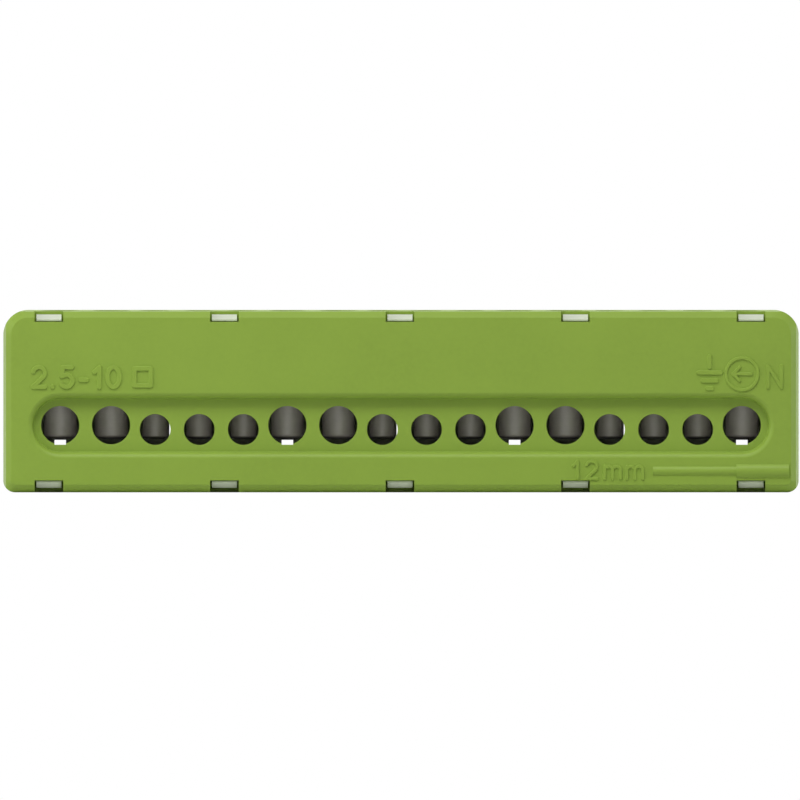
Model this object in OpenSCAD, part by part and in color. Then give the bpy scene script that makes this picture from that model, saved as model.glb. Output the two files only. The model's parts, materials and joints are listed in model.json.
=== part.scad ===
// Earth terminal bar: a snap-on front cover, a rear carrier, a drilled and
// tapped bar, and one clamp screw for each of the sixteen wire entries.
// X runs along the row of terminals, Z is up and the wires enter along +Y.
// The origin is at the middle of the base that the part stands on.

/* [Overall] */
// Length of the housing along the row of terminals
housing_length = 114.2; // [112:0.1:124]
// Height of the housing
housing_height = 26.2; // [25.8:0.1:28]
// Depth of the housing, from its front face to its back
housing_depth = 15.5; // [15.3:0.1:17]
// Radius of the two upper corners
top_corner_r = 3.6; // [2.6:0.1:4]
// Radius of the two lower corners
bottom_corner_r = 1.7; // [1.6:0.1:2.5]
// Bevel round the front face
front_bevel = 1.1; // [0.4:0.1:1.3]
// Bevel round the back face
back_bevel = 0.4; // [0.2:0.1:0.8]

/* [Terminals] */
// Distance between two large terminals that stand side by side
large_pitch = 7.3; // [7.3:0.05:7.6]
// Distance between any other two neighbouring terminals
small_pitch = 6.33; // [6.3:0.01:6.5]
// Height of the centres of the large wire entries
large_entry_z = 9.64; // [9.5:0.01:9.8]
// Height of the centres of the small wire entries
small_entry_z = 9.02; // [8.9:0.01:9.2]
// Diameter of a large wire entry
large_entry_d = 5.5; // [5.2:0.1:5.6]
// Diameter of a small wire entry
small_entry_d = 4.43; // [4.2:0.01:4.6]

/* [Front cover] */
// Thickness of the cover's side walls
cover_wall = 1.6; // [1.5:0.1:1.7]
// Thickness of the cover's front wall
front_wall = 1.5; // [1.2:0.1:1.6]
// Depth of the long recess round the wire entries
recess_depth = 1.5; // [1:0.1:1.6]
// Radius of the recess's round ends at its floor
recess_r = 3.8; // [3.7:0.05:3.9]
// How far the recess widens from its floor to its rounded edge
recess_draft = 0.1; // [0.05:0.05:0.2]
// Radius of the rounded edge round the recess
recess_edge = 0.9; // [0.5:0.05:0.95]
// How much narrower the cover is at the front than at the seam, at each end
side_draft = 0.4; // [0.1:0.05:0.5]
// How much lower the cover's top is at the front than at the seam
top_draft = 0.28; // [0.1:0.02:0.5]
// Diameter of a screwdriver hole over a large screw
large_driver_d = 5.5; // [5:0.1:5.6]
// Diameter of a screwdriver hole over a small screw
small_driver_d = 4.5; // [4:0.1:4.6]

/* [Strip gauge] */
// Length of wire to strip, which is the length of the thin rib
strip_length = 12; // [10:0.5:14]
// How far the thick rib stands proud of the front face
gauge_proud = 0.5; // [0.5:0.1:0.5]

/* [Snap hooks] */
// Distance between two snap hooks
hook_pitch = 25.2; // [24.8:0.1:25.4]
// Width of a snap hook
hook_width = 3.6; // [3.2:0.1:3.7]
// How far a hook stands out of the carrier's wall
hook_height = 1.05; // [0.8:0.05:1.2]

/* [Bar] */
// Depth of the bar, along the wires
bar_depth = 9; // [8.8:0.1:9]
// Height of the bar's underside above the base
bar_z = 5.3; // [5:0.1:5.4]
// Height of the bar
bar_height = 12.6; // [12:0.1:12.8]

/* [Screws] */
// Thread diameter of a large screw
large_thread_d = 6; // [5.8:0.1:6]
// Thread diameter of a small screw
small_thread_d = 5; // [4.8:0.1:5]
// Diameter of the plain point of a large screw
large_point_d = 4.7; // [4.5:0.1:4.8]
// Diameter of the plain point of a small screw
small_point_d = 3.75; // [3.5:0.05:3.9]
// Height of the screws' tips above the base, as stored
tip_z = 7.65; // [7.65:0.05:8.1]
// Length of a screw
screw_length = 10.8; // [10:0.1:10.8]

/* [Hidden] */
$fn = 96;
TERMINALS = 16;
SCREW_NAMES = [for (i = [1:TERMINALS]) str("clamp_screw_", i < 10 ? "0" : "", i)];

eps = 0.01;
// the front face is at this Y, so that the gauge's crown and the back are equally far from Y = 0
front_y = gauge_proud - (housing_depth + gauge_proud) / 2;

// terminals stand in groups of five: two large ones, then three small ones
group = 5;
group_pitch = large_pitch + (group - 1) * small_pitch;
row_start = -1.5 * group_pitch;

// the wire entries' recess
recess_end_x = -row_start;
recess_back = recess_depth + front_wall;
recess_boss_r = recess_r + recess_draft + recess_edge + 0.35;
// the rounded edge starts out of the front face at this angle
recess_edge_start = 8;

// bevel on both sides of the seam between the cover and the carrier's rim
seam_bevel = 0.2;

// the carrier stands inside the cover with this gap all round
fit_gap = 0.1;
carrier_inset = cover_wall + fit_gap;
carrier_wall = 1.2;
carrier_inner = carrier_inset + carrier_wall;
carrier_front = front_wall + 0.2;
flange_front = housing_depth - 2.1;

// the bar lies between the recess's boss and the carrier's floor
bar_front = recess_back + fit_gap;
bar_back = bar_front + bar_depth;
bar_mid = (bar_front + bar_back) / 2;
bar_top = bar_z + bar_height;
bar_end_gap = 0.3;
bar_edge = 0.4;
floor_front = bar_back + fit_gap;
bar_bore_gap = 0.2;
small_bar_bore_gap = 0.185;
thread_gap = 0.05;
point_gap = 0.1;
// how far below the thread of a stored screw its tapped bore goes on
thread_room = 0.45;

// cored pockets in the back of the carrier
pockets_per_group = 4;
pocket_pitch = group_pitch / pockets_per_group;
pocket_count = 3 * pockets_per_group + 1;
pocket_rib = 1.0;
pocket_floor = floor_front + 1.4;
pocket_rows = [[2.6, 12.5], [13.7, 23.6]];

// blind socket and slot for two locating pegs, each in a round boss on the back's middle line
socket_x = 3 * pocket_pitch;
socket_z = housing_height / 2;
socket_d = 4.2;
socket_depth = 2.4;
socket_boss_r = 3.4;
// how much longer than wide the slot is
slot_play = 1;

// moulding openings in the carrier's floor, below the screws of the first large entries
sight_width = 1.65;
sight_z = [4.4, 7.54];
// lower edge of the notch that continues such an opening through the cover
sight_notch_z = 6.84;
side_sight_x = [2.04, 3.3];
side_sight_z = [7.2, 10.8];

// snap hooks and the notches that they catch in
hooks = 5;
hook_shift = -0.15;
hook_clearance = 0.25;
hook_nose = 0.8;
hook_nose_height = 0.25;
hook_ramp = 1.0;
hook_catch = 3.3;
notch_back = hook_catch + fit_gap;
tongue_slit = 0.4;
tongue_back = 4.7;

// strip gauge: half width and height of the thin and thick ribs
gauge_z = 3.05;
wire_half = 0.64;
wire_proud = 0.3;
sheath_half = 0.96;
sheath_length = 7.6;
gauge_right = housing_length / 2 - front_bevel - 0.25;

// ribs under the bar and webs between the screws
rib_t = 0.6;
rib_front = 5;
web_gap = 0.1;

// is terminal i one of the large ones?
function is_large(i) = i % group < 2;

// pick by terminal size
function by_size(i, large, small) = is_large(i) ? large : small;

// place of terminal i along the row
function terminal_x(i) =
    row_start + floor(i / group) * group_pitch
    + (i % group == 0 ? 0 : large_pitch + (i % group - 1) * small_pitch);

function entry_z(i) = by_size(i, large_entry_z, small_entry_z);
function entry_r(i) = by_size(i, large_entry_d, small_entry_d) / 2;
function driver_r(i) = by_size(i, large_driver_d, small_driver_d) / 2;
function thread_r(i) = by_size(i, large_thread_d, small_thread_d) / 2;
function point_r(i) = by_size(i, large_point_d, small_point_d) / 2;
function bar_bore_r(i) = entry_r(i) + by_size(i, bar_bore_gap, small_bar_bore_gap);

// the plain point ends level with the top of the wire entry
function point_length(i) = by_size(i, 4.75, 3.85);

// middle of the gap between the screws of terminals i and i + 1
function web_x(i) =
    (terminal_x(i) + thread_r(i) + terminal_x(i + 1) - thread_r(i + 1)) / 2;

// radius of a rib of half width w that stands h proud
function rib_radius(w, h) = (w * w + h * h) / (2 * h);

// a shape drawn in X and Z, carried from depth f0 to depth f1 behind the front face
module deep(f0, f1) {
    translate([0, front_y + f1, 0])
        rotate([90, 0, 0])
            linear_extrude(f1 - f0)
                children();
}

// the housing's outline, drawn in X and Z, moved in by inset
module outline(inset) {
    w = housing_length / 2 - inset;
    z0 = inset;
    z1 = housing_height - inset;
    rt = max(top_corner_r - inset, 0.3);
    rb = max(bottom_corner_r - inset, 0.3);
    translate([-w, z0 + rb]) square([2 * w, z1 - rt - z0 - rb]);
    translate([-w + rt, z1 - 2 * rt]) square([2 * (w - rt), 2 * rt]);
    translate([-w + rb, z0]) square([2 * (w - rb), 2 * rb]);
    for (s = [-1, 1]) {
        translate([s * (w - rt), z1 - rt]) circle(rt);
        translate([s * (w - rb), z0 + rb]) circle(rb);
    }
}

// the bevelled edge layer of the housing: its small face is at depth f0, its full outline c further
module bevel_layer(f0, c) {
    w = housing_length / 2;
    rt = top_corner_r;
    rb = bottom_corner_r;
    z1 = housing_height;
    // side to side between the corners, along Z
    translate([0, front_y + f0, rb])
        linear_extrude(z1 - rt - rb)
            polygon([[-w + c, 0], [w - c, 0], [w, c], [-w, c]]);
    // along X at the top and at the bottom
    bevel_bar(w - rt, [[f0, z1 - 2 * rt], [f0, z1 - c], [f0 + c, z1], [f0 + c, z1 - 2 * rt]]);
    bevel_bar(w - rb, [[f0, 2 * rb], [f0, c], [f0 + c, 0], [f0 + c, 2 * rb]]);
    for (s = [-1, 1]) {
        bevel_corner(s * (w - rt), z1 - rt, rt, f0, c);
        bevel_corner(s * (w - rb), rb, rb, f0, c);
    }
}

// the housing's outline from depth f0 to f1, with one bevel at its front and one at its rear edge
module housing_layer(f0, f1, front_c, rear_c) {
    deep(f0 + front_c, f1 - rear_c) outline(0);
    bevel_layer(f0, front_c);
    translate([0, 2 * (front_y + f1), 0])
        mirror([0, 1, 0])
            bevel_layer(f1, rear_c);
}

// a bar along X, from -half to half, whose section is drawn as [depth, height] points
module bevel_bar(half, points) {
    translate([-half, front_y, 0])
        rotate([90, 0, 90])
            linear_extrude(2 * half)
                polygon(points);
}

module bevel_corner(x, z, r, f0, c) {
    translate([x, front_y + f0, z])
        rotate([-90, 0, 0])
            cylinder(h = c, r1 = r - c, r2 = r);
}

// half of the recess's section, with X away from its middle line and Y into the depth:
// a steep wall up to a rounded edge, carried a little past the front face
module recess_section() {
    wall_r = recess_r + recess_draft;
    edge_f = recess_edge * cos(recess_edge_start);
    out = 0.1;
    difference() {
        translate([0, -out]) square([wall_r + recess_edge, edge_f + out]);
        translate([wall_r + recess_edge, edge_f]) circle(recess_edge);
    }
    polygon([
        [0, edge_f - eps], [wall_r, edge_f - eps], [wall_r, edge_f],
        [recess_r, recess_depth], [0, recess_depth]
    ]);
}

// the recess round the wire entries, as a solid to take away
module recess() {
    for (s = [-1, 1])
        translate([s * recess_end_x, front_y, large_entry_z])
            rotate([-90, 0, 0])
                rotate_extrude()
                    recess_section();
    translate([-recess_end_x, front_y, large_entry_z])
        rotate([90, 0, 90])
            linear_extrude(2 * recess_end_x)
                for (m = [0, 1])
                    mirror([0, m, 0])
                        mirror([1, -1, 0])
                            recess_section();
}

// a stadium drawn round the centres of the two end entries
module stadium(r) {
    translate([-recess_end_x, large_entry_z - r]) square([2 * recess_end_x, 2 * r]);
    for (s = [-1, 1])
        translate([s * recess_end_x, large_entry_z]) circle(r);
}

// a round hole or boss along Y, from depth f0 to depth f1
module hole_y(x, z, r, f0, f1) {
    translate([x, front_y + f0, z])
        rotate([-90, 0, 0])
            cylinder(h = f1 - f0, r = r);
}

// screwdriver holes down through a top wall, from z0 to z1
module driver_holes(z0, z1) {
    for (i = [0:TERMINALS - 1])
        translate([terminal_x(i), front_y + bar_mid, z0])
            cylinder(h = z1 - z0, r = driver_r(i));
}

// boxes at the places of the snap hooks, top and bottom; the outer side is the housing's own
module at_hooks() {
    for (k = [0:hooks - 1])
        for (up = [0, 1])
            translate([
                (k - (hooks - 1) / 2) * hook_pitch + hook_shift,
                front_y,
                up * housing_height
            ])
                mirror([0, 0, up])
                    children();
}

// a shallow half-round rib along X on the front face, from x0 to x1
module gauge_rib(x0, x1, w, h) {
    r = rib_radius(w, h);
    intersection() {
        translate([x0, front_y + r - h, gauge_z])
            rotate([0, 90, 0])
                cylinder(h = x1 - x0, r = r);
        translate([x0 - 1, front_y - h - 1, gauge_z - 2])
            cube([x1 - x0 + 2, h + 1 + 0.2, 4]);
    }
}

module strip_gauge() {
    sheath_x = gauge_right - sheath_length;
    gauge_rib(sheath_x, gauge_right, sheath_half, gauge_proud);
    gauge_rib(sheath_x - strip_length, sheath_x + eps, wire_half, wire_proud);
}

// wedges to take off the cover's ends and its top, so that it narrows towards the front
module draft_wedges() {
    w = housing_length / 2;
    h = housing_height;
    f = flange_front;
    for (s = [0, 1])
        mirror([s, 0, 0])
            translate([0, front_y, -1])
                linear_extrude(h + 2)
                    polygon([[w - side_draft * (1 + 1 / f), -1], [w, f], [w + 1, f], [w + 1, -1]]);
    bevel_bar(w + 1, [[-1, h - top_draft * (1 + 1 / f)], [f, h], [f, h + 1], [-1, h + 1]]);
}

// small notches in the lower rims of the first large entries, in line with the floor's openings
module sight_notches() {
    for (i = [0:group:TERMINALS - 1])
        translate([terminal_x(i) - sight_width / 2, front_y + recess_depth - 1, sight_notch_z])
            cube([sight_width, front_wall + 2, sight_z[1] - sight_notch_z]);
}

// green moulded cover: front wall, four side walls, recess, wire entries and hook notches
module front_cover() {
    color([0.52, 0.62, 0.26])
        difference() {
            union() {
                difference() {
                    housing_layer(0, flange_front, front_bevel, seam_bevel);
                    deep(front_wall, housing_depth) outline(cover_wall);
                }
                deep(front_wall - eps, recess_back) stadium(recess_boss_r);
                strip_gauge();
            }
            draft_wedges();
            recess();
            for (i = [0:TERMINALS - 1])
                hole_y(terminal_x(i), entry_z(i), entry_r(i), recess_depth - 1, recess_back + 1);
            sight_notches();
            driver_holes(housing_height - cover_wall - 1, housing_height + 1);
            at_hooks()
                translate([-hook_width / 2 - hook_clearance, -1, -1])
                    cube([hook_width + 2 * hook_clearance, notch_back + 1, carrier_inset + 1]);
        }
}

// one snap hook on the wall's outer side: a nose with a lead-in ramp that ends in a square catch
module hook() {
    z0 = carrier_inset;
    z1 = z0 - fit_gap;
    translate([-hook_width / 2, 0, 0])
        rotate([90, 0, 90])
            linear_extrude(hook_width)
                polygon([
                    [carrier_front, z0 + eps], [carrier_front, z1],
                    [hook_nose, z1], [hook_nose, z1 - hook_nose_height],
                    [hook_nose + hook_ramp, z0 - hook_height],
                    [hook_catch, z0 - hook_height], [hook_catch, z0 + eps]
                ]);
}

// pockets cored out of the back in two rows, round the bosses of the socket and the slot
module back_pockets() {
    w = pocket_pitch - pocket_rib;
    difference() {
        for (k = [0:pocket_count - 1])
            for (row = pocket_rows)
                translate([
                    (k - (pocket_count - 1) / 2) * pocket_pitch - w / 2,
                    front_y + pocket_floor,
                    row[0]
                ])
                    cube([w, housing_depth - pocket_floor + 1, row[1] - row[0]]);
        for (s = [-1, 1])
            hole_y(s * socket_x, socket_z, socket_boss_r, pocket_floor - 1, housing_depth + 2);
    }
}

// small openings through the carrier's floor, one group after the other
module sight_openings() {
    for (i = [0:group:TERMINALS - 1])
        floor_opening(terminal_x(i) - sight_width / 2, terminal_x(i) + sight_width / 2, sight_z);
    for (i = [2:group:TERMINALS - 1])
        floor_opening(terminal_x(i) + side_sight_x[0], terminal_x(i) + side_sight_x[1], side_sight_z);
}

module floor_opening(x0, x1, z) {
    translate([x0, front_y + floor_front - 1, z[0]])
        cube([x1 - x0, pocket_floor - floor_front + 2, z[1] - z[0]]);
}

// a round socket at the left and a slot of the same width at the right
module peg_sockets() {
    f0 = housing_depth - socket_depth;
    r = socket_d / 2;
    hole_y(-socket_x, socket_z, r, f0, housing_depth + 1);
    deep(f0, housing_depth + 1) {
        translate([socket_x - slot_play / 2, socket_z - r]) square([slot_play, socket_d]);
        for (s = [-1, 1])
            translate([socket_x + s * slot_play / 2, socket_z]) circle(r);
    }
}

// light grey moulded carrier: a tray open to the front, with ribs, webs and ten snap hooks
module rear_carrier() {
    inner_w = housing_length - 2 * carrier_inner;
    color([0.80, 0.82, 0.80])
        difference() {
            union() {
                difference() {
                    deep(carrier_front, flange_front + eps) outline(carrier_inset);
                    deep(carrier_front - 1, floor_front)
                        translate([-inner_w / 2, carrier_inner])
                            square([inner_w, housing_height - 2 * carrier_inner]);
                }
                housing_layer(flange_front, housing_depth, seam_bevel, back_bevel);
                bar_ribs();
                screw_webs();
                at_hooks() hook();
            }
            at_hooks()
                for (s = [-1, 1])
                    translate([
                        s * (hook_width + tongue_slit) / 2 - tongue_slit / 2,
                        0,
                        carrier_inset - 1
                    ])
                        cube([tongue_slit, tongue_back, carrier_wall + 1]);
            driver_holes(housing_height - carrier_inner - 1, housing_height - carrier_inset + 1);
            back_pockets();
            sight_openings();
            peg_sockets();
        }
}

// ribs that the bar rests on
module bar_ribs() {
    for (i = [0:TERMINALS - 2])
        translate([web_x(i) - rib_t / 2, front_y + rib_front, carrier_inner - eps])
            cube([rib_t, floor_front - rib_front + eps, bar_z - carrier_inner + eps]);
}

// webs that part the screws and hold the bar down
module screw_webs() {
    top = housing_height - carrier_inner;
    for (i = [0:TERMINALS - 2])
        translate([web_x(i) - rib_t / 2, front_y + rib_front, bar_top + web_gap])
            cube([rib_t, floor_front - rib_front + eps, top - bar_top - web_gap + eps]);
}

// the tin-plated bar: bevelled flat stock, bored for the wires and tapped from the top for the screws
module terminal_bar() {
    half = housing_length / 2 - carrier_inner - bar_end_gap;
    e = bar_edge;
    color([0.67, 0.66, 0.63])
        difference() {
            bevel_bar(half, [
                [bar_front + e, bar_z], [bar_back - e, bar_z], [bar_back, bar_z + e],
                [bar_back, bar_top - e], [bar_back - e, bar_top], [bar_front + e, bar_top],
                [bar_front, bar_top - e], [bar_front, bar_z + e]
            ]);
            for (i = [0:TERMINALS - 1]) {
                hole_y(terminal_x(i), entry_z(i), bar_bore_r(i), bar_front - 1, bar_back + 1);
                // room for the plain point
                translate([terminal_x(i), front_y + bar_mid, entry_z(i)])
                    cylinder(h = bar_top - entry_z(i), r = point_r(i) + point_gap);
                // room for the thread at the screw's lowest place
                translate([terminal_x(i), front_y + bar_mid, tip_z + point_length(i) - thread_room])
                    cylinder(h = bar_top, r = thread_r(i) + thread_gap);
            }
        }
}

// headless clamp screw: slotted and cross-recessed top, full thread, plain point with a domed tip
module clamp_screw(i) {
    r = thread_r(i);
    p = point_r(i);
    n = point_length(i);
    d = by_size(i, 0.6, 0.42);
    e = 0.4;
    slot_w = by_size(i, 1.0, 0.8);
    slot_d = 1.8;
    cross_l = 1.3 * r;
    color([0.55, 0.54, 0.52])
        translate([terminal_x(i), front_y + bar_mid, tip_z])
            difference() {
                rotate_extrude()
                    polygon([
                        [0, 0], [0.55 * p, 0.1 * d], [0.85 * p, 0.43 * d], [p, d],
                        [p, n], [r - e, n], [r, n + e],
                        [r, screw_length - e], [r - e, screw_length], [0, screw_length]
                    ]);
                translate([-r - 1, -slot_w / 2, screw_length - slot_d])
                    cube([2 * r + 2, slot_w, slot_d + 1]);
                translate([-slot_w / 2, -cross_l / 2, screw_length - slot_d])
                    cube([slot_w, cross_l, slot_d + 1]);
            }
}

front_cover();
rear_carrier();
terminal_bar();
for (i = [0:TERMINALS - 1])
    clamp_screw(i);
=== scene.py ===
import json
import math

import bpy
import numpy as np
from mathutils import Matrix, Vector

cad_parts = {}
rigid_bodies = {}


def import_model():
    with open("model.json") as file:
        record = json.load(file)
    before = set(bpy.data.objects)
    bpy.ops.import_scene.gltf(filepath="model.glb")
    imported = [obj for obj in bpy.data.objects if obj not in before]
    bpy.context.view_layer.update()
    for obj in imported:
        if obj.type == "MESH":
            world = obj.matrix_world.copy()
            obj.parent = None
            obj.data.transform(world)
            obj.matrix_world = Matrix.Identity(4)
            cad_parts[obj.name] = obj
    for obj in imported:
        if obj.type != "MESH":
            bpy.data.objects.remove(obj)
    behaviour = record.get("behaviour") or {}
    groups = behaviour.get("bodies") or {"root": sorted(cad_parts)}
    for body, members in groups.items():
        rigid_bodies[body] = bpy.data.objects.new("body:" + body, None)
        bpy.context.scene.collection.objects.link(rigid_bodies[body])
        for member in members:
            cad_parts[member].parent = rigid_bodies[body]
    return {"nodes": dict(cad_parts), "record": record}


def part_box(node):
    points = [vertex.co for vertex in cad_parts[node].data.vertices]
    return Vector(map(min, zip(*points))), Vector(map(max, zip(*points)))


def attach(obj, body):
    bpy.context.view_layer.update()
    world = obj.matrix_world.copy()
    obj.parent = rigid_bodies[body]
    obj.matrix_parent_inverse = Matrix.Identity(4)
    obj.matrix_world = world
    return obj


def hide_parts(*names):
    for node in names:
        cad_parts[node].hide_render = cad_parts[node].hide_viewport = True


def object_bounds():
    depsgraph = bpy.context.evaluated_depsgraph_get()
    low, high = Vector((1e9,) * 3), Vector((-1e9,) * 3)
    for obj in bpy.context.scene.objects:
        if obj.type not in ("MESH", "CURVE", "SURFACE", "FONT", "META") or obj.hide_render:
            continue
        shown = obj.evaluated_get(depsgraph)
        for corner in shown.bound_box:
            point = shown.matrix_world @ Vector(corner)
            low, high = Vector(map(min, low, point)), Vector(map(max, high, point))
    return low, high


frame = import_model()
CAD_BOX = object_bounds()

MM = 0.001

# the housing's front face lies behind the crown of the strip gauge
GAUGE_CROWN = 0.5 * MM
FACE_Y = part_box("front_cover")[0].y + GAUGE_CROWN
BASE_Z = CAD_BOX[0].z

# raised marks: height, sink of the patch below the face, width of the flank, grid, strokes, and
# the angle in degrees above which an edge is sharp
MARK_PROUD = 0.18 * MM
MARK_SINK = 0.05 * MM
MARK_FLANK = 0.07 * MM
MARK_GRID = 0.04 * MM
MARK_STROKE = 0.66 * MM
SMALL_STROKE = 0.46 * MM
LETTER_STROKE = 0.5 * MM
MARK_CREASE = 60.0

# clamp screws; a thread wider than LARGE_THREAD is a large one, and SCREW_CREASE is in degrees
SCREW_COUNT = 16
SCREW_CREASE = 30.0
TURN_SEGMENTS = 64
RINGS_PER_PITCH = 12
LARGE_THREAD = 5.5 * MM
PITCHES = {"large": 1.0 * MM, "small": 0.8 * MM}
# radius, length and height of the tip's dome of each plain point
POINTS = {"large": (2.35 * MM, 4.75 * MM, 0.60 * MM), "small": (1.875 * MM, 3.85 * MM, 0.42 * MM)}
SLOT_WIDTHS = {"large": 1.0 * MM, "small": 0.8 * MM}
SLOT_DEPTH = 1.8 * MM
# how far the cutters reach past the screw; the cross recess's half length in radii, and its taper
SLOT_OVERRUN = 1 * MM
CROSS_REACH = 0.65
CROSS_TAPER = 0.12 * MM
THREAD_RUN_IN = 0.7 * MM
TOP_CHAMFER = 0.55 * MM
# depth of the thread in pitches, and the parts of its wave that are crest and flank; the rest is root
THREAD_DEPTH = 0.6
CREST_PART = 0.14
FLANK_PART = 0.62
# the dome's first ring in parts of its radius, its rings, and the power of its curve
DOME_START = 0.04
DOME_RINGS = 12
DOME_POWER = 2.4
POINT_RINGS = 5
# the thread's first ring lies this far above the plain point
SHOULDER_STEP = 0.02 * MM
# painted shade on the domed tip: full up to the first of these heights above its lowest point, faded out
# by the second
TIP_FULL_SHADE_UP_TO = 0.25 * MM
TIP_SHADE_FADE_END = 0.45 * MM
TIP_SHADE = 0.25

# base colours of the finishes, tuned to read true under the studio lamps; the grey plastic has
# the colour that the record gives its slot
GREEN = (0.243, 0.365, 0.049)
STEEL = (0.46, 0.43, 0.425)
TIN = (0.52, 0.50, 0.47)
# the plastics' Specular IOR Level, where 0.5 is the default
PLASTIC_GLOSS = 0.25
PLASTIC_ROUNDING = 0.09 * MM
PLASTIC_ROUGHNESS = (0.44, 0.54)
STEEL_ROUNDING = 0.12 * MM
STEEL_METALLIC = 0.35
STEEL_ROUGHNESS = (0.54, 0.62)
TIN_ROUNDING = 0.15 * MM
TIN_METALLIC = 0.7
TIN_ROUGHNESS = (0.38, 0.52)

# stage, lights and camera
FLOOR_HALF = 3.0
FLOOR_GAP = 0.02 * MM
FLOOR_DARK = (0.87, 0.87, 0.87, 1.0)
FLOOR_PALE = (0.90, 0.90, 0.90, 1.0)
FLOOR_ROUGHNESS = 0.9
FLOOR_GLOSS = 0.1
# distance from the origin at which the floor starts to fade to white, and where it is all white
FADE_START = 0.070
FADE_END = 0.150
VIEW_WIDTH = 114.86 * MM
VIEW_X = -0.145 * MM
VIEW_Z = 13.26 * MM
CAMERA_BACK = 1.0
CLIP_NEAR = 0.01
CLIP_FAR = 20.0
LAMP_DISTANCE = 0.60
LAMP_SIZE = 0.25
SKY = 0.02
WHITE = (1.0, 1.0, 1.0, 1.0)


# ---------------------------------------------------------------- meshes

def signed_volume(verts, faces):
    """Six times the volume inside a closed shell: the sum of each fan triangle's triple product."""
    total = 0.0
    for face in faces:
        corners = verts[list(face)]
        a = corners[0]
        for b, c in zip(corners[1:-1], corners[2:]):
            total += float(np.dot(a, np.cross(b, c)))
    return total


def outward(verts, faces):
    """The faces of a closed shell, turned so that they point out of it."""
    if signed_volume(verts, faces) < 0:
        return [tuple(reversed(f)) for f in faces]
    return faces


def mesh_object(name, verts, faces, material, crease=35.0):
    """An object at the origin from points in metres, smooth but for edges sharper than crease degrees."""
    mesh = bpy.data.meshes.new(name)
    mesh.from_pydata(verts.tolist(), [], faces)
    mesh.materials.append(material)
    mesh.shade_smooth()
    mesh.set_sharp_from_angle(angle=math.radians(crease))
    mesh.update()
    obj = bpy.data.objects.new(name, mesh)
    bpy.context.scene.collection.objects.link(obj)
    return obj


def ring_faces(rings, per_ring):
    """Quads between neighbouring rings of a grid of points, wrapped round each ring."""
    i = np.arange(rings - 1)[:, None]
    j = np.arange(per_ring)[None, :]
    m = (j + 1) % per_ring
    low, high = i * per_ring, (i + 1) * per_ring
    quads = np.stack(np.broadcast_arrays(low + j, low + m, high + m, high + j), axis=-1)
    return [tuple(q) for q in quads.reshape(-1, 4).tolist()]


# ---------------------------------------------------------------- raised marks on the front face

def arc(cx, cz, rx, rz, start, end, steps=14):
    """Points of an ellipse's arc, from start to end in degrees, anticlockwise if end is larger."""
    a = np.radians(np.linspace(start, end, steps))
    return [(cx + rx * c, cz + rz * s) for c, s in zip(np.cos(a), np.sin(a))]


def glyphs():
    """Middle lines of plain signs on a field 1 high, as (paths, width of the field)."""
    return {
        "0": ([arc(0.31, 0.5, 0.31, 0.5, 0, 360, 33)], 0.62),
        "1": ([[(0.0, 0.74), (0.25, 1.0), (0.25, 0.0)]], 0.27),
        "2": ([arc(0.31, 0.70, 0.30, 0.30, 165, -35, 14) + [(0.0, 0.0), (0.62, 0.0)]], 0.62),
        "5": ([[(0.58, 1.0), (0.12, 1.0), (0.06, 0.54)]
               + arc(0.30, 0.31, 0.31, 0.31, 130, -150, 20)], 0.62),
        ".": ([[(0.0, 0.0), (0.0, 0.03)]], 0.02),
        "-": ([[(0.0, 0.36), (0.34, 0.36)]], 0.34),
        "m": ([[(0.0, 0.0), (0.0, 0.70)],
               arc(0.23, 0.46, 0.23, 0.24, 180, 0, 13) + [(0.46, 0.0)],
               arc(0.69, 0.46, 0.23, 0.24, 180, 0, 13) + [(0.92, 0.0)]], 0.92),
        "N": ([[(0.0, 0.0), (0.0, 1.0)], [(0.0, 1.0), (0.62, 0.0)], [(0.62, 0.0), (0.62, 1.0)]], 0.62),
    }


def sign_row(text, left, bottom, height, gap, width=MARK_STROKE):
    """Signs side by side, as (path, width) lines: each fits the height between its outer edges."""
    table = glyphs()
    # the middle lines stay half a stroke inside the height
    inner = height - width
    x = left + width / 2
    lines = []
    for letter in text:
        paths, field = table[letter]
        for points in paths:
            path = [(x + px * inner, bottom + width / 2 + pz * inner) for px, pz in points]
            lines.append((path, width))
        x += field * inner + width + gap
    return lines


def edge_distance(points, lines):
    """Distance from points to the nearest line's edge, negative inside it: to the nearest
    straight of its path, less half its width."""
    nearest = np.full(len(points), np.inf)
    for path, width in lines:
        path = np.asarray(path, float)
        for start, step in zip(path[:-1], np.diff(path, axis=0)):
            t = np.clip((points - start) @ step / (step @ step), 0.0, 1.0)
            gap = np.linalg.norm(points - start - t[:, None] * step, axis=1)
            nearest = np.minimum(nearest, gap - width / 2)
    return nearest


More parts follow.
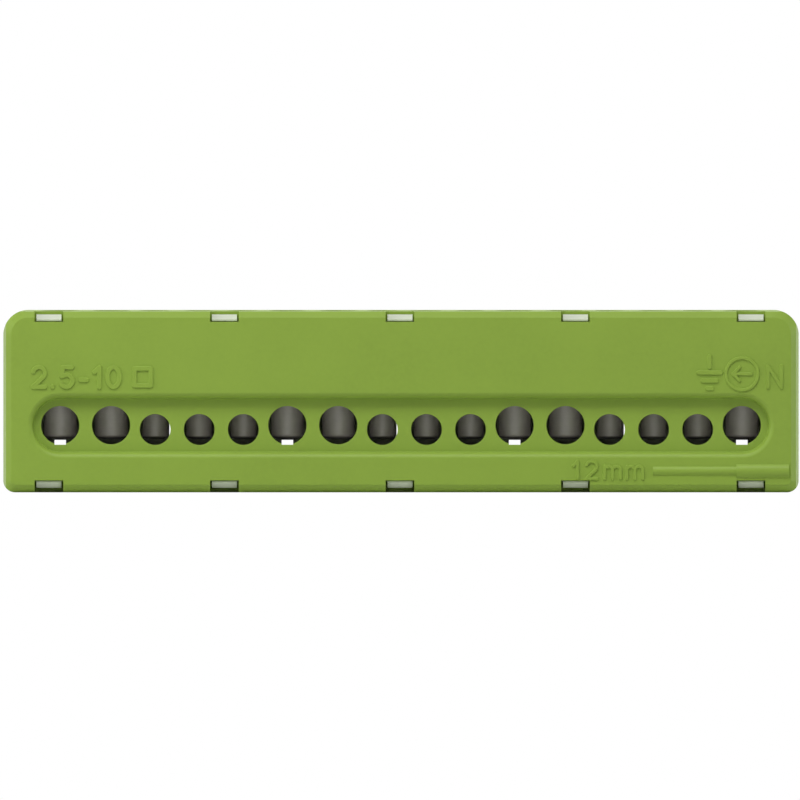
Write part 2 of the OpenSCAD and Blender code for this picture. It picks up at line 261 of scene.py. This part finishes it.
def relief(lines):
    """A closed patch on the front face that rises out of it along the lines and lies just under
    it elsewhere. Height = rise * s * s * (3 - 2 s) - sink, with s = 0.5 - distance / flank."""
    reach = max(width for _, width in lines) / 2 + MARK_FLANK
    path = np.concatenate([np.asarray(points, float) for points, _ in lines])
    low, high = path.min(axis=0) - reach, path.max(axis=0) + reach
    cols, rows = (np.ceil((high - low) / MARK_GRID).astype(int) + 1).tolist()
    xs, zs = np.meshgrid(np.linspace(low[0], high[0], cols), np.linspace(low[1], high[1], rows))
    plane = np.stack([xs.ravel(), zs.ravel()], axis=1)
    s = np.clip(0.5 - edge_distance(plane, lines) / MARK_FLANK, 0.0, 1.0)
    height = (MARK_PROUD + MARK_SINK) * s * s * (3.0 - 2.0 * s) - MARK_SINK
    verts = np.stack([plane[:, 0], FACE_Y - height, plane[:, 1]], axis=1)
    back = FACE_Y + 2 * MARK_SINK
    corners = [(x, back, z) for z in (low[1], high[1]) for x in (low[0], high[0])]
    verts = np.concatenate([verts, corners])
    index = np.arange(rows * cols).reshape(rows, cols)
    quads = np.stack([index[:-1, :-1], index[:-1, 1:], index[1:, 1:], index[1:, :-1]], axis=-1)
    faces = [tuple(q) for q in quads.reshape(-1, 4).tolist()]
    b0, b1, b2, b3 = range(rows * cols, rows * cols + 4)
    faces += [
        tuple(index[0, ::-1].tolist()) + (b0, b1),
        tuple(index[-1, :].tolist()) + (b3, b2),
        tuple(index[:, 0].tolist()) + (b2, b0),
        tuple(index[::-1, -1].tolist()) + (b1, b3),
        (b0, b2, b3, b1),
    ]
    return verts, outward(verts, faces)


def size_mark():
    """The range of conductor sizes that the terminals take, and a square that stands for the section."""
    low, high, left, right = 15.0 * MM, 18.1 * MM, -38.6 * MM, -35.6 * MM
    inset = MARK_STROKE / 2
    square = [(left + inset, low + inset), (right - inset, low + inset), (right - inset, high - inset),
              (left + inset, high - inset), (left + inset, low + inset)]
    return sign_row("2.5-10", -53.2 * MM, 14.8 * MM, 3.5 * MM, 0.42 * MM) + [(square, MARK_STROKE)]


def earth_mark():
    """The sign for protective earth: a stem over three bars that get shorter."""
    x = 44.3 * MM
    bars = ((1.6 * MM, 17.2 * MM), (1.0 * MM, 16.05 * MM), (0.3 * MM, 14.95 * MM))
    stem = ([(x, 19.5 * MM), (x, 18.0 * MM)], MARK_STROKE)
    return [stem] + [([(x - half, z), (x + half, z)], MARK_STROKE) for half, z in bars]


def arrow_mark():
    """A ring round an arrow that points along the row."""
    x, z, r = 48.95 * MM, 17.0 * MM, 2.3 * MM
    head = [(x - 0.35 * MM, z + 0.95 * MM), (x - 1.3 * MM, z), (x - 0.35 * MM, z - 0.95 * MM)]
    shaft = [(x - 1.2 * MM, z), (x + 1.35 * MM, z)]
    return [(path, SMALL_STROKE) for path in (arc(x, z, r, r, 0, 360, 61), head, shaft)]


def neutral_mark():
    """The letter for a neutral conductor."""
    return sign_row("N", 52.45 * MM, 14.8 * MM, 3.6 * MM, 0.0, LETTER_STROKE)


def strip_mark():
    """The length of wire to strip, beside the gauge."""
    return sign_row("12", 24.5 * MM, 1.75 * MM, 2.95 * MM, 0.75 * MM, SMALL_STROKE) + \
        sign_row("mm", 29.0 * MM, 1.75 * MM, 2.95 * MM, 0.45 * MM, SMALL_STROKE)


# ---------------------------------------------------------------- clamp screws

def thread_depth(z, angle, pitch):
    """How far the helix cuts in, from 0 on a crest to 1 in a root: a triangle wave of
    height along the axis less one pitch for each turn, with its crest and root cut flat."""
    phase = (z / pitch - angle / (2 * np.pi)) % 1.0
    wave = 1.0 - np.abs(2.0 * phase - 1.0)
    return np.clip((wave - CREST_PART) / FLANK_PART, 0.0, 1.0)


def screw_shell(size, radius, length):
    """A headless screw with its tip at the origin, as a radius over angle and height:
    a low dome, the plain point, a cone, then the thread's helix between two chamfers."""
    point_r, point_len, dome = POINTS[size]
    pitch = PITCHES[size]
    t = np.linspace(DOME_START, 1.0, DOME_RINGS)
    dome_z = dome * (1.0 - np.sqrt(np.clip(1.0 - t ** DOME_POWER, 0.0, 1.0)))
    dome_r = point_r * t
    point_z = np.linspace(dome, point_len, POINT_RINGS)[1:]
    body_z = np.arange(point_len + SHOULDER_STEP, length - 1e-9, pitch / RINGS_PER_PITCH)
    z = np.concatenate([dome_z, point_z, body_z, [length]])
    core = np.concatenate([
        dome_r, np.full(len(point_z), point_r), np.full(len(body_z) + 1, radius)])
    turn = np.linspace(0.0, 2 * np.pi, TURN_SEGMENTS, endpoint=False)
    zz, aa = np.meshgrid(z, turn, indexing="ij")
    cut = thread_depth(zz, aa, pitch) * THREAD_DEPTH * pitch
    cone = point_r + (zz - point_len) / THREAD_RUN_IN * (radius - point_r)
    top = radius - TOP_CHAMFER + (length - zz)
    threaded = np.minimum(np.minimum(radius - cut, np.maximum(cone, point_r)), top)
    r = np.where(zz > point_len + SHOULDER_STEP / 2, threaded, core[:, None])
    verts = np.stack([r * np.cos(aa), r * np.sin(aa), zz], axis=-1).reshape(-1, 3)
    tip, crown = len(verts), len(verts) + 1
    verts = np.concatenate([verts, [[0, 0, 0], [0, 0, length]]])
    last = (len(z) - 1) * TURN_SEGMENTS
    faces = ring_faces(len(z), TURN_SEGMENTS)
    for j in range(TURN_SEGMENTS):
        k = (j + 1) % TURN_SEGMENTS
        faces += [(tip, k, j), (crown, last + j, last + k)]
    return verts, outward(verts, faces)


def tapered_box(half_x, half_y, low, high, taper):
    """A closed box from low to high whose half widths shrink by taper at its foot."""
    verts = np.array([(sx * (half_x - t), sy * (half_y - t), z)
                      for z, t in ((low, taper), (high, 0.0))
                      for sx, sy in ((-1, -1), (1, -1), (1, 1), (-1, 1))])
    faces = ring_faces(2, 4) + [(3, 2, 1, 0), (4, 5, 6, 7)]
    return verts, outward(verts, faces)


def cut_slots(size, radius, length, verts, faces, material):
    """The screw's shell less a slot right across and a cross recess, by an exact boolean."""
    w = SLOT_WIDTHS[size] / 2
    low, high = length - SLOT_DEPTH, length + SLOT_OVERRUN
    cutters = [tapered_box(radius + SLOT_OVERRUN, w, low, high, 0.0),
               tapered_box(w, CROSS_REACH * radius, low, high, CROSS_TAPER)]
    blank = mesh_object("screw_blank", verts, faces, material)
    for k, (v, f) in enumerate(cutters):
        tool = mesh_object(f"slot_tool_{k}", v, f, material)
        cut = blank.modifiers.new(f"slot_{k}", "BOOLEAN")
        cut.operation = "DIFFERENCE"
        cut.solver = "EXACT"
        cut.object = tool
    depsgraph = bpy.context.evaluated_depsgraph_get()
    cut_mesh = bpy.data.meshes.new_from_object(blank.evaluated_get(depsgraph))
    points = np.empty(len(cut_mesh.vertices) * 3)
    cut_mesh.vertices.foreach_get("co", points)
    polygons = [tuple(p.vertices) for p in cut_mesh.polygons]
    for obj in [o for o in bpy.data.objects if o.name.startswith(("screw_blank", "slot_tool_"))]:
        bpy.data.objects.remove(obj)
    return points.reshape(-1, 3), polygons


def clamp_screws(material):
    """One detailed screw in the place of each plain one, riding on that screw's body."""
    shapes = {}
    for n in range(1, SCREW_COUNT + 1):
        low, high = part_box(f"clamp_screw_{n:02d}")
        radius = (high.x - low.x) / 2
        size = "large" if 2 * radius > LARGE_THREAD else "small"
        if size not in shapes:
            verts, faces = screw_shell(size, radius, high.z - low.z)
            shapes[size] = cut_slots(size, radius, high.z - low.z, verts, faces, material)
        verts, faces = shapes[size]
        place = np.array([(low.x + high.x) / 2, (low.y + high.y) / 2, low.z])
        screw = mesh_object(f"threaded_screw_{n:02d}", verts + place, faces, material,
                            SCREW_CREASE)
        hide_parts(f"clamp_screw_{n:02d}")
        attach(screw, f"screw_{n:02d}")


# ---------------------------------------------------------------- materials

def new_material(name):
    """A material with its node tree, its principled shader and a small function that adds nodes."""
    material = bpy.data.materials.new(name)
    material.use_nodes = True
    tree = material.node_tree
    shader = tree.nodes["Principled BSDF"]

    def node(kind, links=(), **values):
        made = tree.nodes.new(kind)
        for key, value in values.items():
            setattr(made, key, value)
        for socket, source in links:
            if hasattr(source, "is_output"):
                tree.links.new(source, made.inputs[socket])
            else:
                made.inputs[socket].default_value = source
        return made

    return material, tree, shader, node


def noise(node, place, scale, detail=3.0, rough=0.55):
    """A noise pattern's value at a place; scale is in cycles per metre."""
    made = node("ShaderNodeTexNoise", [("Vector", place), ("Scale", scale), ("Detail", detail),
                                       ("Roughness", rough)])
    return made.outputs["Fac"]


def ranged(node, value, low, high, start=0.3, end=0.7):
    """A value mapped from start..end onto low..high."""
    made = node("ShaderNodeMapRange", [("Value", value), ("From Min", start), ("From Max", end),
                                       ("To Min", low), ("To Max", high)])
    return made.outputs["Result"]


def mixed(node, fac, a, b):
    """Two colours mixed by a factor."""
    made = node("ShaderNodeMix", data_type="RGBA")
    tree = made.id_data
    for socket, source in ((made.inputs[0], fac), (made.inputs[6], a), (made.inputs[7], b)):
        if hasattr(source, "is_output"):
            tree.links.new(source, socket)
        else:
            socket.default_value = source
    return made.outputs[2]


def shade(colour, by):
    """A colour made lighter or darker by a factor, with full alpha."""
    return tuple(min(c * by, 1.0) for c in colour[:3]) + (1.0,)


def moulded_plastic(name, colour):
    """Satin moulded plastic: faint flow clouds, fine spark-eroded grain, and slightly rounded edges with
    a painted highlight that makes them paler. The edge mask is how far the rounded normal turns from the
    true one."""
    material, tree, shader, node = new_material(name)
    place = node("ShaderNodeTexCoord").outputs["Object"]
    clouds = noise(node, place, scale=70.0, detail=4.0)
    flecks = noise(node, place, scale=1500.0, detail=2.0)
    tone = mixed(node, ranged(node, clouds, 0.0, 1.0), shade(colour, 0.955), shade(colour, 1.035))
    tone = mixed(node, ranged(node, flecks, 0.0, 0.30), tone, shade(colour, 1.10))
    rounded = node("ShaderNodeBevel", [("Radius", PLASTIC_ROUNDING)], samples=6).outputs["Normal"]
    true_normal = node("ShaderNodeNewGeometry").outputs["Normal"]
    turn = node("ShaderNodeVectorMath", [(0, rounded), (1, true_normal)], operation="DOT_PRODUCT")
    edge = ranged(node, turn.outputs["Value"], low=0.22, high=0.0, start=0.80, end=0.995)
    # painted highlight: the edges are lightened towards 1.45 times the colour where the rounded normal
    # turns away from the true one
    tone = mixed(node, edge, tone, shade(colour, 1.45))
    tree.links.new(tone, shader.inputs["Base Color"])
    tree.links.new(ranged(node, flecks, *PLASTIC_ROUGHNESS), shader.inputs["Roughness"])
    shader.inputs["Specular IOR Level"].default_value = PLASTIC_GLOSS
    grain = noise(node, place, scale=9000.0, detail=2.0)
    bump = node("ShaderNodeBump", [("Strength", 0.22), ("Distance", 0.02 * MM), ("Height", grain),
                                   ("Normal", rounded)])
    tree.links.new(bump.outputs["Normal"], shader.inputs["Normal"])
    return material


def turned_steel(name, colour):
    """Dark plated steel: rings left by the turning tool run round the axis, over a cloudy plating, with
    painted shade on the domed tip that stands for the shadow on its underside. All the screws' tips are
    at one height."""
    material, tree, shader, node = new_material(name)
    place = node("ShaderNodeTexCoord").outputs["Object"]
    rings = node("ShaderNodeMapping", [("Vector", place), ("Scale", (0.02, 0.02, 1.0))])
    lathe = noise(node, rings.outputs["Vector"], scale=9000.0, rough=0.6)
    clouds = noise(node, place, scale=900.0)
    tone = mixed(node, ranged(node, clouds, 0.0, 1.0), shade(colour, 0.92), shade(colour, 1.06))
    tone = mixed(node, ranged(node, lathe, 0.0, 0.25), tone, shade(colour, 1.15))
    # painted shade: the domed tip is darkened by height for the shadow that falls on it, and the screw
    # above it keeps its tone
    height = node("ShaderNodeSeparateXYZ", [("Vector", place)]).outputs["Z"]
    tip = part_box("clamp_screw_01")[0].z
    above_tip_shade = ranged(node, height, 0.0, 1.0, start=tip + TIP_FULL_SHADE_UP_TO, end=tip + TIP_SHADE_FADE_END)
    tone = mixed(node, above_tip_shade, shade(colour, TIP_SHADE), tone)
    tree.links.new(tone, shader.inputs["Base Color"])
    shader.inputs["Metallic"].default_value = STEEL_METALLIC
    tree.links.new(ranged(node, clouds, *STEEL_ROUGHNESS), shader.inputs["Roughness"])
    rounded = node("ShaderNodeBevel", [("Radius", STEEL_ROUNDING)], samples=4).outputs["Normal"]
    bump = node("ShaderNodeBump", [("Strength", 0.15), ("Distance", 0.01 * MM), ("Height", lathe),
                                   ("Normal", rounded)])
    tree.links.new(bump.outputs["Normal"], shader.inputs["Normal"])
    return material


def tinned_bar(name, colour):
    """Tin plated bar: long fine drawing streaks along the row over cloudy plating."""
    material, tree, shader, node = new_material(name)
    place = node("ShaderNodeTexCoord").outputs["Object"]
    along = node("ShaderNodeMapping", [("Vector", place), ("Scale", (0.03, 1.0, 1.0))])
    streaks = noise(node, along.outputs["Vector"], scale=6000.0, rough=0.6)
    plating = noise(node, place, scale=220.0, detail=4.0)
    tone = mixed(node, ranged(node, plating, 0.0, 1.0), shade(colour, 0.80), shade(colour, 1.02))
    tone = mixed(node, ranged(node, streaks, 0.0, 0.30), tone, shade(colour, 1.18))
    tree.links.new(tone, shader.inputs["Base Color"])
    shader.inputs["Metallic"].default_value = TIN_METALLIC
    tree.links.new(ranged(node, plating, *TIN_ROUGHNESS), shader.inputs["Roughness"])
    rounded = node("ShaderNodeBevel", [("Radius", TIN_ROUNDING)], samples=4).outputs["Normal"]
    bump = node("ShaderNodeBump", [("Strength", 0.15), ("Distance", 0.01 * MM), ("Height", streaks),
                                   ("Normal", rounded)])
    tree.links.new(bump.outputs["Normal"], shader.inputs["Normal"])
    return material


def slot_colour(slot):
    """The record's base colour for a material slot."""
    return next(m["base_color"] for m in frame["record"]["materials"] if m["slot"] == slot)


# ---------------------------------------------------------------- stage, lights and camera

def white_for_eyes(tree, lit, out):
    """A shader as lit for light, and plain white for camera, mirror and glass rays."""
    rays = tree.nodes.new("ShaderNodeLightPath").outputs
    seen = rays["Is Camera Ray"]
    for kind in ("Is Glossy Ray", "Is Transmission Ray"):
        either = tree.nodes.new("ShaderNodeMath")
        either.operation = "MAXIMUM"
        tree.links.new(seen, either.inputs[0])
        tree.links.new(rays[kind], either.inputs[1])
        seen = either.outputs[0]
    mix = tree.nodes.new("ShaderNodeMixShader")
    white = tree.nodes.new("ShaderNodeBackground")
    white.inputs["Strength"].default_value = 1.0
    white.inputs["Color"].default_value = WHITE
    tree.links.new(seen, mix.inputs[0])
    tree.links.new(lit, mix.inputs[1])
    tree.links.new(white.outputs[0], mix.inputs[2])
    tree.links.new(mix.outputs[0], out)


def make_world(strength):
    """An even pale sky that reads as white behind the object."""
    world = bpy.data.worlds.new("pale_sky")
    world.use_nodes = True
    tree = world.node_tree
    sky = tree.nodes["Background"]
    sky.inputs["Color"].default_value = WHITE
    sky.inputs["Strength"].default_value = strength
    white_for_eyes(tree, sky.outputs[0], tree.nodes["World Output"].inputs["Surface"])
    bpy.context.scene.world = world


def make_floor():
    """A wide pale floor just under the base: it keeps the object's shadow, and for the camera it
    fades to white at a distance from the middle."""
    half = FLOOR_HALF
    z = BASE_Z - FLOOR_GAP
    corners = np.array([(-half, -half, z), (half, -half, z), (half, half, z), (-half, half, z)])
    material, tree, shader, node = new_material("pale_floor")
    place = node("ShaderNodeTexCoord").outputs["Object"]
    paper = noise(node, place, scale=900.0)
    tone = mixed(node, ranged(node, paper, 0.0, 1.0), FLOOR_DARK, FLOOR_PALE)
    tree.links.new(tone, shader.inputs["Base Color"])
    shader.inputs["Roughness"].default_value = FLOOR_ROUGHNESS
    shader.inputs["Specular IOR Level"].default_value = FLOOR_GLOSS
    far = node("ShaderNodeVectorMath", [(0, place)], operation="LENGTH").outputs["Value"]
    white = node("ShaderNodeEmission", [("Strength", 1.0)])
    fade = node("ShaderNodeMixShader", [(0, ranged(node, far, 0.0, 1.0, FADE_START, FADE_END))])
    tree.links.new(shader.outputs[0], fade.inputs[1])
    tree.links.new(white.outputs[0], fade.inputs[2])
    rays = node("ShaderNodeLightPath").outputs["Is Camera Ray"]
    whole = node("ShaderNodeMixShader", [(0, rays)])
    tree.links.new(shader.outputs[0], whole.inputs[1])
    tree.links.new(fade.outputs[0], whole.inputs[2])
    tree.links.new(whole.outputs[0], tree.nodes["Material Output"].inputs["Surface"])
    floor = mesh_object("pale_floor", corners, [(0, 1, 2, 3)], material)


def soft_lamp(name, azimuth, elevation, power):
    """A square soft lamp aimed at the object's middle; azimuth 0 is in front, 90 to the right."""
    a, e = math.radians(azimuth), math.radians(elevation)
    middle = (CAD_BOX[0] + CAD_BOX[1]) / 2
    toward = Vector((math.sin(a) * math.cos(e), -math.cos(a) * math.cos(e), math.sin(e)))
    data = bpy.data.lights.new(name, "AREA")
    data.size = LAMP_SIZE
    data.energy = power
    lamp = bpy.data.objects.new(name, data)
    lamp.location = middle + toward * LAMP_DISTANCE
    lamp.rotation_euler = (-toward).to_track_quat("-Z", "Y").to_euler()
    bpy.context.scene.collection.objects.link(lamp)


def make_camera():
    """A level camera straight in front, without perspective."""
    data = bpy.data.cameras.new("camera")
    data.type = "ORTHO"
    data.ortho_scale = VIEW_WIDTH
    data.clip_start = CLIP_NEAR
    data.clip_end = CLIP_FAR
    camera = bpy.data.objects.new("camera", data)
    camera.location = (VIEW_X, FACE_Y - CAMERA_BACK, VIEW_Z)
    camera.rotation_euler = (math.pi / 2, 0.0, 0.0)
    bpy.context.scene.collection.objects.link(camera)
    bpy.context.scene.camera = camera


# name, azimuth and elevation in degrees, power in watts
LAMPS = [
    ("key_lamp", -35.0, 48.0, 0.58),
    ("left_lamp", -70.0, 20.0, 1.10),
    ("top_lamp", 0.0, 60.0, 2.16),
    ("right_lamp", 88.0, 5.0, 1.05),
    ("back_left_lamp", -140.0, 22.0, 0.95),
    ("back_right_lamp", 140.0, 22.0, 0.95),
]

scene = bpy.context.scene
scene.view_settings.view_transform = "Standard"

make_camera()
make_world(SKY)
make_floor()
for lamp in LAMPS:
    soft_lamp(*lamp)

green = moulded_plastic("green_moulding", GREEN)
grey = moulded_plastic("grey_moulding", slot_colour("grey_plastic"))
steel = turned_steel("screw_steel_turned", STEEL)
tinned = tinned_bar("tin_plated_bar", TIN)

for node_name, finish in (("front_cover", green), ("rear_carrier", grey), ("terminal_bar", tinned)):
    for material_slot in frame["nodes"][node_name].material_slots:
        material_slot.material = finish

clamp_screws(steel)

MARKS = {
    "size_mark": size_mark,
    "earth_mark": earth_mark,
    "arrow_mark": arrow_mark,
    "neutral_mark": neutral_mark,
    "strip_length_mark": strip_mark,
}
for mark_name, make_mark in MARKS.items():
    mark = mesh_object(mark_name, *relief(make_mark()), green, MARK_CREASE)
    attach(mark, "housing")
